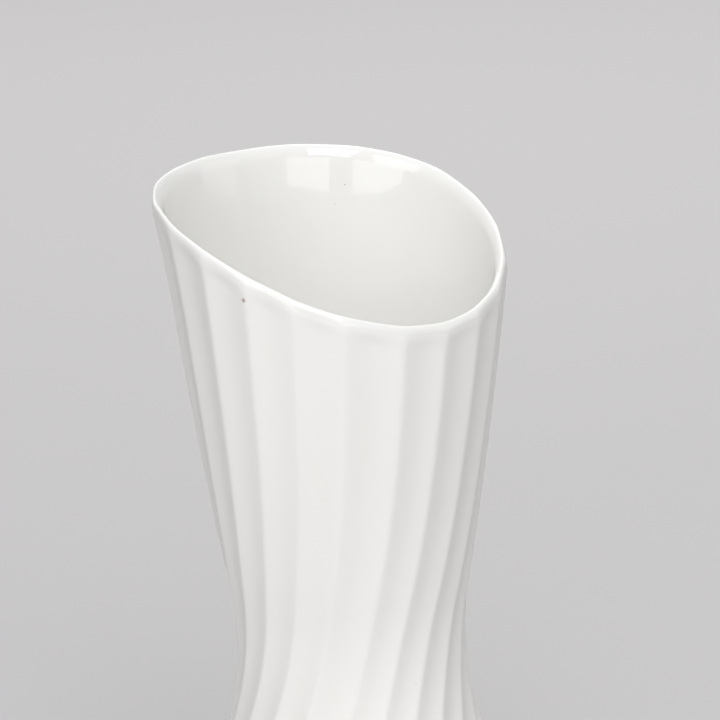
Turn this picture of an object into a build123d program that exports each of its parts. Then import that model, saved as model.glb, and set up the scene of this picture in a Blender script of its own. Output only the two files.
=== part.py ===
from build123d import *
import math
import os

os.makedirs("parts", exist_ok=True)

# Heights above the table, in millimetres
foot_height = 5.0
belly_height = 37.0
waist_height = 98.0

# The mouth is cut to an arch that falls from the back lip to the front lip
back_lip_height = 208.2
mid_lip_height = 199.4
front_lip_height = 177.4
# What the cut takes off above the highest point of the mouth
mouth_trim = 3.8

# Radii, measured to the crests between the flutes
base_radius = 30.0
belly_radius = 45.0
waist_radius = 26.8
blank_radius = 42.3

# The bend above the waist, and the lean in degrees of the trumpet that follows it
waist_bend = 77.6
trumpet_lean = 9.8
# How much of the S between belly and waist is the waist's hollow curve
hollow_share = 0.7

# Clay, slip and glaze
wall = 3.6
# The wall thins up the trumpet to this at the mouth
lip_wall = 2.8
floor_radius = 20.0
floor_thickness = 6.0
slip_thickness = 0.8
lip_depth = 1.6

# The foot ring, luted under the wall
foot_top_radius = 28.6
foot_radius = 27.6
foot_width = 4.6
foot_edge = 0.8

# Flutes, carved round from the first crest, with one wide flute that closes the round (degrees)
flute_count = 21
first_crest = -16.0
closing_flute = 21.3
flute_depth_share = 0.03

# The twist of the crests in degrees for each millimetre of height, which fades out above the waist
twist_rate = 1.1
twist_fade = 24.0

# The most that the crests turn from one section to the next, outside and inside, as shares of a flute
outer_turn_share = 0.35
inner_turn_share = 1.5

# How far a cutter runs past what it cuts
overrun = 5.0

blank_height = max(back_lip_height, mid_lip_height, front_lip_height) + mouth_trim
floor_height = foot_height + floor_thickness
bore_radius = floor_radius + slip_thickness
pitch = (360 - closing_flute) / (flute_count - 1)


def twist(height):
    return -twist_rate * twist_fade * math.log1p(math.exp((waist_height - height) / twist_fade))


def polar(radius, angle):
    return (radius * math.cos(math.radians(angle)), radius * math.sin(math.radians(angle)))


def wall_points(low_radius, low_height, inset, top_inset, most_turn):
    # Points up the wall on five tangent arcs: skirt, belly, hollow, bend and trumpet
    belly = (belly_radius - inset, belly_height)
    waist = (waist_radius - inset, waist_height)
    turn = 2 * math.atan2(belly_radius - waist_radius, waist_height - belly_height)
    belly_bend = (1 - hollow_share) * (waist_height - belly_height) / math.sin(turn)
    flank = (
        belly[0] - belly_bend * (1 - math.cos(turn)),
        belly[1] + belly_bend * math.sin(turn),
    )
    lean = math.radians(trumpet_lean)
    throat = (
        waist[0] + waist_bend * (1 - math.cos(lean)),
        waist[1] + waist_bend * math.sin(lean),
    )
    top = (blank_radius - top_inset, blank_height)
    arcs = [
        TangentArc(belly, (low_radius, low_height), tangent=(0, -1)),
        TangentArc(belly, flank, tangent=(0, 1)),
        TangentArc(waist, flank, tangent=(0, -1)),
        TangentArc(waist, throat, tangent=(0, 1)),
        TangentArc(throat, top, tangent=(math.sin(lean), math.cos(lean))),
    ]
    points = []
    for arc in arcs:
        crest_turn = abs(twist((arc @ 1).Y) - twist((arc @ 0).Y))
        steps = math.ceil(crest_turn / most_turn)
        rising = sorted((arc @ (step / steps) for step in range(steps + 1)), key=lambda point: point.Y)
        points += [(point.X, point.Y) for point in rising[:-1]]
    return points + [top]


def mouth_waste(drop):
    # Everything above the arched cut, lowered by a drop
    with BuildPart() as waste:
        with BuildSketch(Plane.XZ):
            with BuildLine():
                ThreePointArc(
                    (-blank_radius, back_lip_height - drop),
                    (0, mid_lip_height - drop),
                    (blank_radius, front_lip_height - drop),
                )
                Polyline(
                    (blank_radius, front_lip_height - drop),
                    (blank_radius + overrun, front_lip_height - drop),
                    (blank_radius + overrun, blank_height + overrun),
                    (-blank_radius - overrun, blank_height + overrun),
                    (-blank_radius - overrun, back_lip_height - drop),
                    (-blank_radius, back_lip_height - drop),
                )
            make_face()
        extrude(amount=blank_radius + overrun, both=True)
    return waste.part


# Where each flute starts at the mouth, and how wide it is, in degrees
flutes = [(first_crest + flute * pitch, pitch) for flute in range(flute_count - 1)]
flutes.append((first_crest - closing_flute, closing_flute))

outer_points = wall_points(base_radius, foot_height, 0, 0, outer_turn_share * pitch)
inner_points = wall_points(bore_radius, floor_height, wall, lip_wall, inner_turn_share * pitch)

# The thrown tube with its twisted flutes, open at both ends and not yet cut at the mouth
with BuildPart() as tube:
    for radius, height in outer_points:
        with BuildSketch(Plane.XY.offset(height)):
            with BuildLine():
                for start, spread in flutes:
                    crest = start + twist(height)
                    half = math.radians(spread / 2)
                    chord = 2 * radius * math.sin(half)
                    valley = radius * math.cos(half) - flute_depth_share * chord
                    ThreePointArc(
                        polar(radius, crest),
                        polar(valley, crest + spread / 2),
                        polar(radius, crest + spread),
                    )
            make_face()
    loft(ruled=True)
    with BuildSketch(Plane.XZ):
        with BuildLine():
            Polyline(
                (0, foot_height - overrun),
                (bore_radius, foot_height - overrun),
                *inner_points,
                (blank_radius - lip_wall, blank_height + overrun),
                (0, blank_height + overrun),
                close=True,
            )
        make_face()
    revolve(axis=Axis.Z, mode=Mode.SUBTRACT)

# The wall, cut off at the arch under its coat of glaze
with BuildPart() as body_wall:
    add(tube.part)
    add(mouth_waste(lip_depth), mode=Mode.SUBTRACT)
body_wall.part.label = "body_wall"
export_step(body_wall.part, "parts/body_wall.step")

# The thick rounded coat of glaze along the cut mouth
with BuildPart() as lip_glaze:
    add(tube.part)
    add(mouth_waste(lip_depth), mode=Mode.INTERSECT)
    add(mouth_waste(0), mode=Mode.SUBTRACT)
lip_glaze.part.label = "lip_glaze"
export_step(lip_glaze.part, "parts/lip_glaze.step")

# The floor, a disc of clay that closes the tube
with BuildPart() as floor_disc:
    with BuildSketch(Plane.XY.offset(foot_height)):
        Circle(floor_radius)
    extrude(amount=floor_thickness)
floor_disc.part.label = "floor_disc"
export_step(floor_disc.part, "parts/floor_disc.step")

# The slip that lutes the floor into the wall
with BuildPart() as slip_joint:
    with BuildSketch(Plane.XY.offset(foot_height)):
        Circle(bore_radius)
        Circle(floor_radius, mode=Mode.SUBTRACT)
    extrude(amount=floor_thickness)
slip_joint.part.label = "slip_joint"
export_step(slip_joint.part, "parts/slip_joint.step")

# The foot ring, with a flat face to stand on
with BuildPart() as foot_ring:
    with BuildSketch(Plane.XZ):
        with BuildLine():
            Polyline(
                (foot_radius - foot_width, 0),
                (foot_radius, 0),
                (foot_top_radius, foot_height),
                (foot_top_radius - foot_width, foot_height),
                close=True,
            )
        make_face()
    revolve(axis=Axis.Z)
    chamfer(foot_ring.edges().group_by(Axis.Z)[0].sort_by(SortBy.LENGTH)[-1], length=foot_edge)
foot_ring.part.label = "foot_ring"
export_step(foot_ring.part, "parts/foot_ring.step")
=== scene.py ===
import math

import bmesh
import bpy
from mathutils import Matrix, Vector


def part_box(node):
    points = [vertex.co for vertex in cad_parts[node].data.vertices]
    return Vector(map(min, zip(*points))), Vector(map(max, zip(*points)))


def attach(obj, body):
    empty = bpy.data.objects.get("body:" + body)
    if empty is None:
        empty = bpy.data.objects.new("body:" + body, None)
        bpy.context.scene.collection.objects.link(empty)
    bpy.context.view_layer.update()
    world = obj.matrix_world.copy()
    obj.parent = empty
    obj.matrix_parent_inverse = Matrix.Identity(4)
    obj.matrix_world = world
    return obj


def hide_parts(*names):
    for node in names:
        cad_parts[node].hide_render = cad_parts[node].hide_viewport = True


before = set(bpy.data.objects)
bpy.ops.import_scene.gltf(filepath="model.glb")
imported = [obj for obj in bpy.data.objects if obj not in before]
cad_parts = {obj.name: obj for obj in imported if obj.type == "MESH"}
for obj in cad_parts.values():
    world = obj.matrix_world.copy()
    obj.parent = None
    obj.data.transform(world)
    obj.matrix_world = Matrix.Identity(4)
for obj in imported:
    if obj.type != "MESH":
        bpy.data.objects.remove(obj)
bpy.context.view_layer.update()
scene = bpy.context.scene
scene.view_settings.view_transform = "Standard"
print("frame loaded:", len(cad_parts), "nodes")

wallLow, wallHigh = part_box("body_wall")
floorLow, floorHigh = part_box("floor_disc")
slipLow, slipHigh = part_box("slip_joint")
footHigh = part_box("foot_ring")[1]

tiny = 1e-6  # a difference that is only rounding
creaseAngle = math.radians(40)  # edges sharper than this stay sharp

# The thrown shape, in metres. Radii are to the crests between the flutes.
shape = {
    "bellyRadius": min(wallHigh.x - wallLow.x, wallHigh.y - wallLow.y) / 2,
    "bellyHeight": 0.037,
    "waistRadius": 0.0268,
    "waistHeight": 0.098,
    "baseRadius": 0.030,
    "topRadius": 0.0423,
    "topHeight": 0.212,
    "waistBend": 0.0776,
    "lean": math.radians(9.8),
    "hollowShare": 0.7,
    "wall": 0.0036,
    "lipWall": 0.0028,
}

# The mouth, an arch that falls from the back lip at -X to the front lip at +X
mouth = {
    "backHeight": 0.2082,
    "midHeight": 0.1994,
    "frontHeight": 0.1774,
    "reach": 0.0423,
    "lipDepth": 0.0016,
    "roundDepth": 0.0034,  # how far down the lip the wall is rounded off
    "thinning": 0.00035,  # how much the wall is thinned inside the lip, and how far down
    "thinDepth": 0.0105,
    "waver": 0.0003,  # how far the cut wanders below the arch
    "waves": ((5, 1), (8, 2.3), (13, 0)),  # waves round the mouth, and where each starts
    "flareAngle": math.radians(-130),  # where it was pushed a little out of round
    "flareOut": 0.0013,
    "flareDepth": 0.026,
}

# The carved flutes, with one wide flute that closes the round
flutes = {
    "count": 21,
    "firstCrest": math.radians(-16.0),
    "closing": math.radians(21.3),
    "depthShare": 0.038,
    "crestSoftness": 0.10,
    "twistRate": math.radians(1100),  # for each metre of height
    "twistFade": 0.024,
    "lipShare": 0.3,  # how much of a flute's depth is left at the lip
    "lipFade": 0.006,
}


def wallArcs(inset, lipInset, lowRadius, lowHeight):
    # the top, centre and bend of each arc up the wall: skirt, belly, hollow, bend and trumpet
    belly = Vector((shape["bellyRadius"] - inset, shape["bellyHeight"]))
    waist = Vector((shape["waistRadius"] - inset, shape["waistHeight"]))
    rise = waist.y - belly.y
    turn = 2 * math.atan2(belly.x - waist.x, rise)
    bellyBend = (1 - shape["hollowShare"]) * rise / math.sin(turn)
    flank = belly + bellyBend * Vector((math.cos(turn) - 1, math.sin(turn)))
    lean = shape["lean"]
    throat = waist + shape["waistBend"] * Vector((1 - math.cos(lean), math.sin(lean)))
    low = Vector((lowRadius, lowHeight))
    top = Vector((shape["topRadius"] - lipInset, shape["topHeight"]))
    arcs = []
    for start, tilt, end in (
        (belly, 0, low), (belly, 0, flank), (waist, 0, flank), (waist, 0, throat), (throat, lean, top),
    ):
        normal = Vector((-math.cos(tilt), math.sin(tilt)))
        chord = end - start
        bend = chord.length_squared / (2 * chord.dot(normal))
        arcs.append((max(start.y, end.y), start + normal * bend, bend))
    return arcs


outsideArcs = wallArcs(0, 0, shape["baseRadius"], wallLow.z)
insideArcs = wallArcs(shape["wall"], shape["lipWall"], slipHigh.x, floorHigh.z)


def radiusOn(arcs, height):
    for top, centre, bend in arcs:
        if height <= top:
            break
    return centre.x + math.copysign(math.sqrt(max(0, bend ** 2 - (height - centre.y) ** 2)), bend)


def mouthHeight(x):
    fall = (mouth["backHeight"] - mouth["frontHeight"]) / (2 * mouth["reach"])
    crown = mouth["midHeight"] - (mouth["backHeight"] + mouth["frontHeight"]) / 2
    return mouth["midHeight"] - fall * x - crown * (x / mouth["reach"]) ** 2


def lipHeight(x, angle):
    # the arch of the mouth, with the unsteady line of a cut by hand
    waves = [math.sin(count * angle + start) for count, start in mouth["waves"]]
    return mouthHeight(x) - mouth["waver"] * (len(waves) + sum(waves)) / (2 * len(waves))


def twistAt(height):
    fade = flutes["twistFade"]
    return -flutes["twistRate"] * fade * math.log1p(math.exp((shape["waistHeight"] - height) / fade))


def fluteAt(spinAngle):
    # a spun point's angle at the mouth, its share of the way across its flute, and the flute's width
    pitch = (2 * math.pi - flutes["closing"]) / (flutes["count"] - 1)
    turns = (spinAngle / (2 * math.pi) % 1) * flutes["count"]
    flute = min(int(turns + tiny), flutes["count"] - 1)
    width = flutes["closing"] if flute == flutes["count"] - 1 else pitch
    share = turns - flute
    return flutes["firstCrest"] + flute * pitch + share * width, share, width


def fluteDepth(share, width, radius):
    half = width / 2
    deepest = radius * (1 - math.cos(half)) + flutes["depthShare"] * 2 * radius * math.sin(half)
    soft = flutes["crestSoftness"]
    hollow = math.sqrt(math.sin(math.pi * share) ** 2 + soft ** 2) - soft
    return deepest * hollow / (math.sqrt(1 + soft ** 2) - soft)


def spunProfile(points, steps, closed):
    bm = bmesh.new()
    verts = [bm.verts.new((radius, 0, height)) for radius, height in points]
    pairs = zip(verts, verts[1:] + verts[:1]) if closed else zip(verts, verts[1:])
    edges = [bm.edges.new(pair) for pair in pairs]
    bmesh.ops.spin(
        bm, geom=verts + edges, cent=(0, 0, 0), axis=(0, 0, 1),
        angle=2 * math.pi, steps=steps, use_merge=True,
    )
    bmesh.ops.remove_doubles(bm, verts=bm.verts[:], dist=tiny)
    bmesh.ops.recalc_face_normals(bm, faces=bm.faces[:])
    return bm


def addPiece(name, bm, material, nodeName):
    for face in bm.faces:
        face.smooth = True
    for edge in bm.edges:
        edge.smooth = edge.calc_face_angle(0) < creaseAngle
    mesh = bpy.data.meshes.new(name)
    bm.to_mesh(mesh)
    bm.free()
    mesh.materials.append(material)
    piece = bpy.data.objects.new(name, mesh)
    scene.collection.objects.link(piece)
    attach(piece, "root")
    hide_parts(nodeName)
    print(name, "made:", len(mesh.polygons), "faces")


def addNode(tree, kind, sockets=None, **settings):
    # a node with its settings, and its sockets set to values or linked to other sockets
    node = tree.nodes.new(kind)
    for key, value in settings.items():
        setattr(node, key, value)
    for key, value in (sockets or {}).items():
        if isinstance(value, bpy.types.NodeSocket):
            tree.links.new(value, node.inputs[key])
        else:
            node.inputs[key].default_value = value
    return node


def addNoise(tree, place, scale, detail):
    noise = addNode(tree, "ShaderNodeTexNoise", {"Vector": place, "Scale": scale, "Detail": detail})
    return noise.outputs["Fac"]


def addRamp(tree, value, sockets, **settings):
    ramp = addNode(tree, "ShaderNodeMapRange", {"Value": value, **sockets}, **settings)
    return ramp.outputs["Result"]


def mixColours(tree, factor, first, second):
    mix = addNode(tree, "ShaderNodeMix", {"Factor": factor, "A": first, "B": second}, data_type="RGBA")
    return mix.outputs["Result"]


def roughen(tree, shader, noise, height):
    bump = addNode(tree, "ShaderNodeBump", {"Distance": height, "Height": noise})
    tree.links.new(bump.outputs["Normal"], shader.inputs["Normal"])


def newMaterial(name, roughness):
    # a new material, with its node tree, its shader and its place on the object
    material = bpy.data.materials.new(name)
    material.use_nodes = True
    tree = material.node_tree
    shader = tree.nodes["Principled BSDF"]
    shader.inputs["Roughness"].default_value = roughness
    place = addNode(tree, "ShaderNodeTexCoord").outputs["Object"]
    return material, tree, shader, place


glaze = {
    "crestColour": (0.865, 0.862, 0.848, 1),
    "poolColour": (0.850, 0.843, 0.818, 1),
    "lipColour": (0.838, 0.840, 0.832, 1),
    "cloudScale": 38.0,
    "cloudDetail": 3,
    "poolShare": 0.6,  # how much of the pooling is in the flutes alone
    "rippleScale": 70.0,
    "rippleDetail": 2,
    "rippleHeight": 0.00005,
    "pinholeScale": 120.0,
    "pinholeSize": 0.020,
    "pinholeCoreShare": 0.5,
    "pinholeColour": (0.22, 0.19, 0.15, 1),
    "glossRoughness": 0.05,
    "satinRoughness": 0.36,
    "refraction": 1.5,
}

# A brown fleck in the glaze, a little under the lip
fleck = {
    "angle": math.radians(-72.4),
    "height": 0.1888,
    "size": 0.0007,
    "coreShare": 0.4,
    "colour": (0.44, 0.37, 0.30, 1),
}


def addPinholes(tree, place, colour):
    cells = addNode(tree, "ShaderNodeTexVoronoi", {"Vector": place, "Scale": glaze["pinholeScale"]})
    size = glaze["pinholeSize"]
    hole = addRamp(tree, cells.outputs["Distance"], {
        "From Min": size,
        "From Max": size * glaze["pinholeCoreShare"],
    })
    return mixColours(tree, hole, colour, glaze["pinholeColour"])


def addFleck(tree, place, colour):
    out = radiusOn(outsideArcs, fleck["height"])
    spot = (out * math.cos(fleck["angle"]), out * math.sin(fleck["angle"]), fleck["height"])
    away = addNode(tree, "ShaderNodeVectorMath", {0: place, 1: spot}, operation="DISTANCE")
    near = addRamp(tree, away.outputs["Value"], {
        "From Min": fleck["size"],
        "From Max": fleck["size"] * fleck["coreShare"],
    })
    return mixColours(tree, near, colour, fleck["colour"])


def glazedPorcelain(name, usesFlutes):
    material, tree, shader, place = newMaterial(name, glaze["glossRoughness"])
    shader.inputs["IOR"].default_value = glaze["refraction"]
    # clouds of thicker glaze
    pooled = addNoise(tree, place, glaze["cloudScale"], glaze["cloudDetail"])
    thinColour = glaze["lipColour"]
    if usesFlutes:
        thinColour = glaze["crestColour"]
        # more of it gathers in the flutes
        flute = addNode(tree, "ShaderNodeAttribute", attribute_name="flute")
        gathered = addNode(tree, "ShaderNodeMath", {
            0: flute.outputs["Fac"],
            1: glaze["poolShare"],
            2: 1 - glaze["poolShare"],
        }, operation="MULTIPLY_ADD")
        deeper = addNode(tree, "ShaderNodeMath", {0: pooled, 1: gathered.outputs[0]}, operation="MULTIPLY")
        pooled = deeper.outputs[0]
        # satin outside, glossy inside
        gloss = addNode(tree, "ShaderNodeAttribute", attribute_name="gloss")
        polish = addRamp(tree, gloss.outputs["Fac"], {
            "To Min": glaze["satinRoughness"],
            "To Max": glaze["glossRoughness"],
        })
        tree.links.new(polish, shader.inputs["Roughness"])
    colour = mixColours(tree, pooled, thinColour, glaze["poolColour"])
    colour = addPinholes(tree, place, colour)
    if usesFlutes:
        colour = addFleck(tree, place, colour)
    tree.links.new(colour, shader.inputs["Base Color"])
    # slow ripples in the glaze
    ripples = addNoise(tree, place, glaze["rippleScale"], glaze["rippleDetail"])
    roughen(tree, shader, ripples, glaze["rippleHeight"])
    return material


bare = {
    "colour": (0.80, 0.76, 0.70, 1),
    "stain": (0.70, 0.64, 0.56, 1),
    "stainScale": 90,
    "stainDetail": 4,
    "grainScale": 900.0,
    "grainDetail": 2,
    "grainHeight": 0.00006,
    "roughness": 0.75,
}


def barePorcelain(name):
    material, tree, shader, place = newMaterial(name, bare["roughness"])
    stains = addNoise(tree, place, bare["stainScale"], bare["stainDetail"])
    tree.links.new(mixColours(tree, stains, bare["colour"], bare["stain"]), shader.inputs["Base Color"])
    grain = addNoise(tree, place, bare["grainScale"], bare["grainDetail"])
    roughen(tree, shader, grain, bare["grainHeight"])
    return material


wallGlaze = glazedPorcelain("wallGlaze", True)
lipGlaze = glazedPorcelain("lipGlaze", False)
slipClay = barePorcelain("slipClay")
footClay = barePorcelain("footClay")
print("materials made")

# The fluted wall, spun as a tube with a level top, then twisted, fluted and brought to the arched mouth
wallMesh = {
    "stepsPerFlute": 16,
    "outerRows": 110,
    "innerRows": 60,
    "levelBelow": 0.100,  # rows up to here stay level
    "lipZone": 0.012,
    "lipRows": 26,
    "settleRounds": 5,  # how often a point's radius and height are worked out from each other
}


def flareAt(angle, below):
    near = max(0, 1 - below / mouth["flareDepth"])
    return mouth["flareOut"] * near ** 2 * max(0, math.cos(angle - mouth["flareAngle"])) ** 4


def lipFade(below):
    rise = min(1, max(0, below) / flutes["lipFade"])
    return flutes["lipShare"] + (1 - flutes["lipShare"]) * rise ** 2 * (3 - 2 * rise)


def roundedShare(below):
    # how much of the wall's half thickness is left at a depth below the top of the lip
    rise = min(1, max(0, below) / mouth["roundDepth"])
    return math.sqrt(1 - (1 - rise) ** 2)


def settle(spinAngle, height, side, heightAt=None):
    # where a spun point ends up, with side 1 outside and -1 inside
    # heightAt gives its height from the lip's, and without it the point stays level
    angle, share, width = fluteAt(spinAngle)
    below = shape["topHeight"]  # far under the lip at first
    for _ in range(wallMesh["settleRounds"]):
        crest = radiusOn(outsideArcs, height)
        outer = crest - fluteDepth(share, width, crest) * lipFade(below)
        thinned = mouth["thinning"] * max(0, 1 - below / mouth["thinDepth"]) ** 2
        inner = radiusOn(insideArcs, height) + thinned
        radius = (outer + inner) / 2 + side * roundedShare(below) * (outer - inner) / 2
        turned = angle + twistAt(height)
        if heightAt is None:
            break
        radius += flareAt(turned, below)
        lip = lipHeight(radius * math.cos(turned), turned)
        height = heightAt(lip)
        below = lip - height
    return Vector((radius * math.cos(turned), radius * math.sin(turned), height)), share


def rowHeights(low, high, rows):
    # even rows, and closer ones where the lip is rounded off
    near = high - wallMesh["lipZone"]
    lipRows = wallMesh["lipRows"]
    heights = [low + (near - low) * row / rows for row in range(rows)]
    return heights + [near + (high - near) * row / lipRows for row in range(lipRows + 1)]


def makeWall():
    low, top, inLow = wallLow.z, shape["topHeight"], floorHigh.z
    level = wallMesh["levelBelow"]
    outside = rowHeights(low, top, wallMesh["outerRows"])
    inside = rowHeights(inLow, top, wallMesh["innerRows"])
    points = [(radiusOn(outsideArcs, height), height) for height in outside]
    points += [(radiusOn(insideArcs, height), height) for height in reversed(inside)]
    points.append((slipHigh.x, low))
    bm = spunProfile(points, flutes["count"] * wallMesh["stepsPerFlute"], True)
    fluteLayer = bm.verts.layers.float.new("flute")
    glossLayer = bm.verts.layers.float.new("gloss")
    for vert in bm.verts:
        spunRadius, spunHeight = math.hypot(vert.co.x, vert.co.y), vert.co.z
        if spunHeight < inLow - tiny and spunRadius < slipHigh.x + tiny:
            continue  # the bore round the floor stays as it was spun
        spinAngle = math.atan2(vert.co.y, vert.co.x)
        isInside = spunRadius < radiusOn(outsideArcs, spunHeight) - shape["lipWall"] / 2
        heightAt = None
        if spunHeight > level:
            part = (spunHeight - level) / (top - level)
            heightAt = lambda lip, part=part: level + part * (lip - mouth["lipDepth"] - level)
        vert.co, share = settle(spinAngle, spunHeight, -1 if isInside else 1, heightAt)
        vert[fluteLayer] = 1.0 if isInside else math.sin(math.pi * share)
        vert[glossLayer] = float(isInside)
    bmesh.ops.recalc_face_normals(bm, faces=bm.faces[:])
    addPiece("flutedWall", bm, wallGlaze, "body_wall")


makeWall()

# The rounded coat of glaze along the mouth
lipMesh = {"steps": 14}


def makeLip():
    middle = shape["topRadius"] - shape["lipWall"] / 2
    start = math.asin(1 - mouth["lipDepth"] / mouth["roundDepth"])
    points = []
    for step in range(lipMesh["steps"] + 1):
        turn = start + (math.pi - 2 * start) * step / lipMesh["steps"]
        out = shape["lipWall"] / 2 * math.cos(turn)
        points.append((middle + out, mouth["roundDepth"] * (math.sin(turn) - 1)))
    bm = spunProfile(points, flutes["count"] * wallMesh["stepsPerFlute"], True)
    for vert in bm.verts:
        side = math.copysign(1, math.hypot(vert.co.x, vert.co.y) - middle)
        spinAngle = math.atan2(vert.co.y, vert.co.x)
        heightAt = lambda lip, down=vert.co.z: lip + down
        vert.co = settle(spinAngle, mouth["midHeight"], side, heightAt)[0]
    bmesh.ops.recalc_face_normals(bm, faces=bm.faces[:])
    addPiece("mouthLip", bm, lipGlaze, "lip_glaze")


makeLip()

# The floor inside, slightly dished
floorMesh = {"dish": 0.0005, "rings": 8, "steps": 96}


def makeFloor():
    radius, low, high = floorHigh.x, floorLow.z, floorHigh.z
    points = [(0, low), (radius, low)]
    for ring in range(floorMesh["rings"] + 1):
        out = 1 - ring / floorMesh["rings"]
        points.append((radius * out, high - floorMesh["dish"] * (1 - out ** 2)))
    bm = spunProfile(points, floorMesh["steps"], False)
    addPiece("vaseFloor", bm, lipGlaze, "floor_disc")


makeFloor()


def makeSlip():
    # the slip that lutes the floor into the wall
    inner, outer = floorHigh.x, slipHigh.x
    points = [(inner, slipLow.z), (outer, slipLow.z), (outer, slipHigh.z), (inner, slipHigh.z)]
    bm = spunProfile(points, floorMesh["steps"], True)
    addPiece("slipRing", bm, slipClay, "slip_joint")


makeSlip()

# The foot ring, with softened edges on the bare face
footMesh = {"bottomRadius": 0.0276, "width": 0.0046, "edge": 0.0008, "edgeSteps": 4, "steps": 128}


def makeFoot():
    outer, width = footHigh.x, footMesh["width"]
    bottom = footMesh["bottomRadius"]
    points = [(bottom - width, 0), (bottom, 0), (outer, footHigh.z), (outer - width, footHigh.z)]
    bm = spunProfile(points, footMesh["steps"], True)
    low = [edge for edge in bm.edges if all(vert.co.z < tiny for vert in edge.verts)]
    rim = [edge for edge in low if edge.calc_face_angle(0) > creaseAngle]
    bmesh.ops.bevel(
        bm, geom=rim, offset=footMesh["edge"], offset_type="OFFSET", affect="EDGES",
        segments=footMesh["edgeSteps"], profile=0.5, material=-1,
    )
    bmesh.ops.recalc_face_normals(bm, faces=bm.faces[:])
    addPiece("footRing", bm, footClay, "foot_ring")


makeFoot()

# Where the photograph was taken from
view = {
    "azimuth": math.radians(50.4),
    "elevation": math.radians(15),
    "distance": 1.5,
    "aimHeight": 0.1652,
    "aimRight": 0.00435,
    "roll": math.radians(2.03),
    "lens": 324.4,
    "sensorWidth": 36,
    "farthest": 20,
}


def towards(azimuth, elevation):
    return Vector((
        math.sin(azimuth) * math.cos(elevation),
        -math.cos(azimuth) * math.cos(elevation),
        math.sin(elevation),
    ))


def makeCamera():
    data = bpy.data.cameras.new("photoCamera")
    data.lens = view["lens"]
    data.sensor_width = view["sensorWidth"]
    data.clip_end = view["farthest"]
    camera = bpy.data.objects.new("photoCamera", data)
    scene.collection.objects.link(camera)
    back = towards(view["azimuth"], view["elevation"])
    turned = (-back).to_track_quat("-Z", "Y").to_matrix() @ Matrix.Rotation(-view["roll"], 3, "Z")
    aim = Vector((0, 0, view["aimHeight"])) + turned.col[0] * view["aimRight"]
    camera.location = aim + back * view["distance"]
    camera.rotation_euler = turned.to_euler()
    scene.camera = camera


makeCamera()

# The table, a sheet of paper with painted light that makes it paler far behind the vase
studio = {
    "nearColour": (0.594, 0.584, 0.590, 1),
    "farPaintedLightColour": (0.684, 0.670, 0.678, 1),
    "nearBehind": 0.23,
    "farBehind": 1.20,
    "paperRoughness": 0.9,
    "tableSize": 6.0,
    "skyColour": (1, 1, 1, 1),
    "skyStrength": 0.16,
    "skyShown": 0.60,  # what the camera and the glaze see of it
}


def tablePaper():
    material, tree, shader, place = newMaterial("tablePaper", studio["paperRoughness"])
    turned = addNode(tree, "ShaderNodeMapping", {"Vector": place, "Rotation": (0, 0, -view["azimuth"])})
    axes = addNode(tree, "ShaderNodeSeparateXYZ", {"Vector": turned.outputs["Vector"]})
    # painted light: the paper's colour grows paler with distance behind the vase
    behind = addRamp(tree, axes.outputs["Y"], {
        "From Min": studio["nearBehind"],
        "From Max": studio["farBehind"],
    }, interpolation_type="SMOOTHSTEP")
    colour = mixColours(tree, behind, studio["nearColour"], studio["farPaintedLightColour"])
    tree.links.new(colour, shader.inputs["Base Color"])
    return material


def makeTable():
    bm = bmesh.new()
    bmesh.ops.create_grid(bm, x_segments=1, y_segments=1, size=studio["tableSize"])
    mesh = bpy.data.meshes.new("table")
    bm.to_mesh(mesh)
    bm.free()
    mesh.materials.append(tablePaper())
    table = bpy.data.objects.new("table", mesh)
    scene.collection.objects.link(table)


def makeSky():
    sky = bpy.data.worlds.new("studioSky")
    scene.world = sky
    sky.use_nodes = True
    tree = sky.node_tree
    light = tree.nodes["Background"]
    light.inputs["Color"].default_value = studio["skyColour"]
    way = addNode(tree, "ShaderNodeLightPath")
    seen = addNode(tree, "ShaderNodeMath", {
        0: way.outputs["Is Camera Ray"],
        1: way.outputs["Is Glossy Ray"],
    }, operation="MAXIMUM")
    strength = addRamp(tree, seen.outputs[0], {
        "To Min": studio["skyStrength"],
        "To Max": studio["skyShown"],
    })
    tree.links.new(strength, light.inputs["Strength"])


makeTable()
makeSky()

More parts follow.
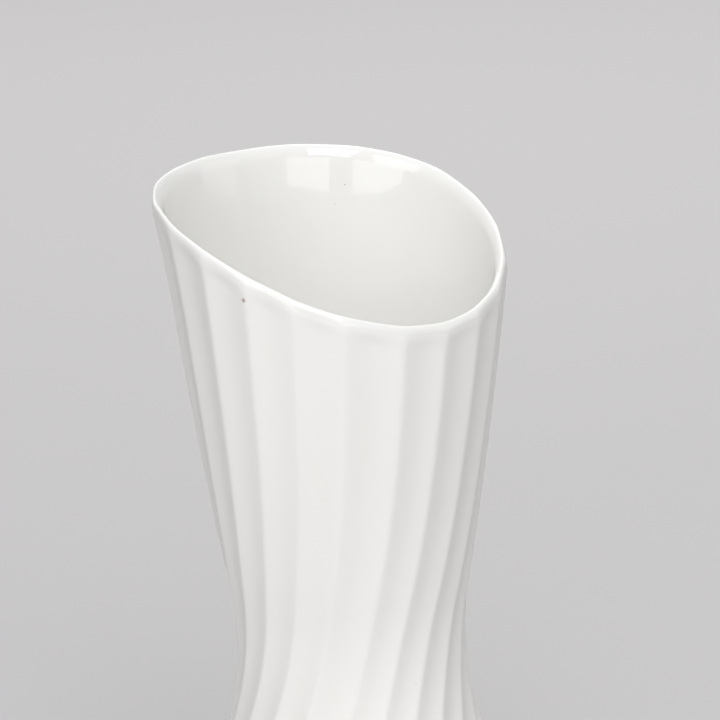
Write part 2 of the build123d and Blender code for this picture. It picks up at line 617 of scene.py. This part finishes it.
# Soft lamps round the vase: how far aside of the camera, how high, how far, how wide and how strong
lamps = {
    "leftLamp": {"aside": -40, "up": 30, "away": 1.8, "size": 0.9, "watts": 6.2},
    "frontLamp": {"aside": 5, "up": 38, "away": 1.9, "size": 0.9, "watts": 17.6},
    "sideLamp": {"aside": 85, "up": 15, "away": 1.8, "size": 0.9, "watts": 2.5},
    "topLamp": {"aside": 180, "up": 80, "away": 1.8, "size": 1.2, "watts": 14.2},
}

# A wide lamp that faces down on the paper behind the vase
paperLamp = {"behind": 1.3, "height": 1.1, "width": 1.5, "depth": 1.0, "watts": 6.0}

# Two low panels beside the camera, which also show as reflections inside the mouth, each with its span
# in degrees to the left or right of the camera as seen from the vase
panels = {
    "distance": 1.5,
    "bottom": 0.255,
    "top": 0.62,
    "radiance": 1.9,
    "leftPanel": (-48, -12),
    "rightPanel": (4, 34),
}


def addLamp(name, place, aim, width, height, watts):
    data = bpy.data.lights.new(name, "AREA")
    data.shape = "RECTANGLE"
    data.size = width
    data.size_y = height
    data.energy = watts
    lamp = bpy.data.objects.new(name, data)
    scene.collection.objects.link(lamp)
    lamp.location = place
    lamp.rotation_euler = (aim - place).to_track_quat("-Z", "Y").to_euler()
    lamp.visible_camera = False


def makeLamps():
    aim = Vector((0, 0, view["aimHeight"]))
    for name, lamp in lamps.items():
        side = towards(view["azimuth"] + math.radians(lamp["aside"]), math.radians(lamp["up"]))
        addLamp(name, aim + side * lamp["away"], aim, lamp["size"], lamp["size"], lamp["watts"])
    under = towards(view["azimuth"] + math.pi, 0) * paperLamp["behind"]
    above = under + Vector((0, 0, paperLamp["height"]))
    addLamp("paperLamp", above, under, paperLamp["width"], paperLamp["depth"], paperLamp["watts"])


def makePanels():
    height = panels["top"] - panels["bottom"]
    level = Vector((0, 0, panels["bottom"] + height / 2))
    for name in ("leftPanel", "rightPanel"):
        low, high = (math.radians(edge) for edge in panels[name])
        place = level + towards(view["azimuth"] + (low + high) / 2, 0) * panels["distance"]
        width = 2 * panels["distance"] * math.tan((high - low) / 2)
        addLamp(name, place, level, width, height, panels["radiance"] * math.pi * width * height)


makeLamps()
makePanels()
print("camera and light set")

bpy.context.view_layer.update()
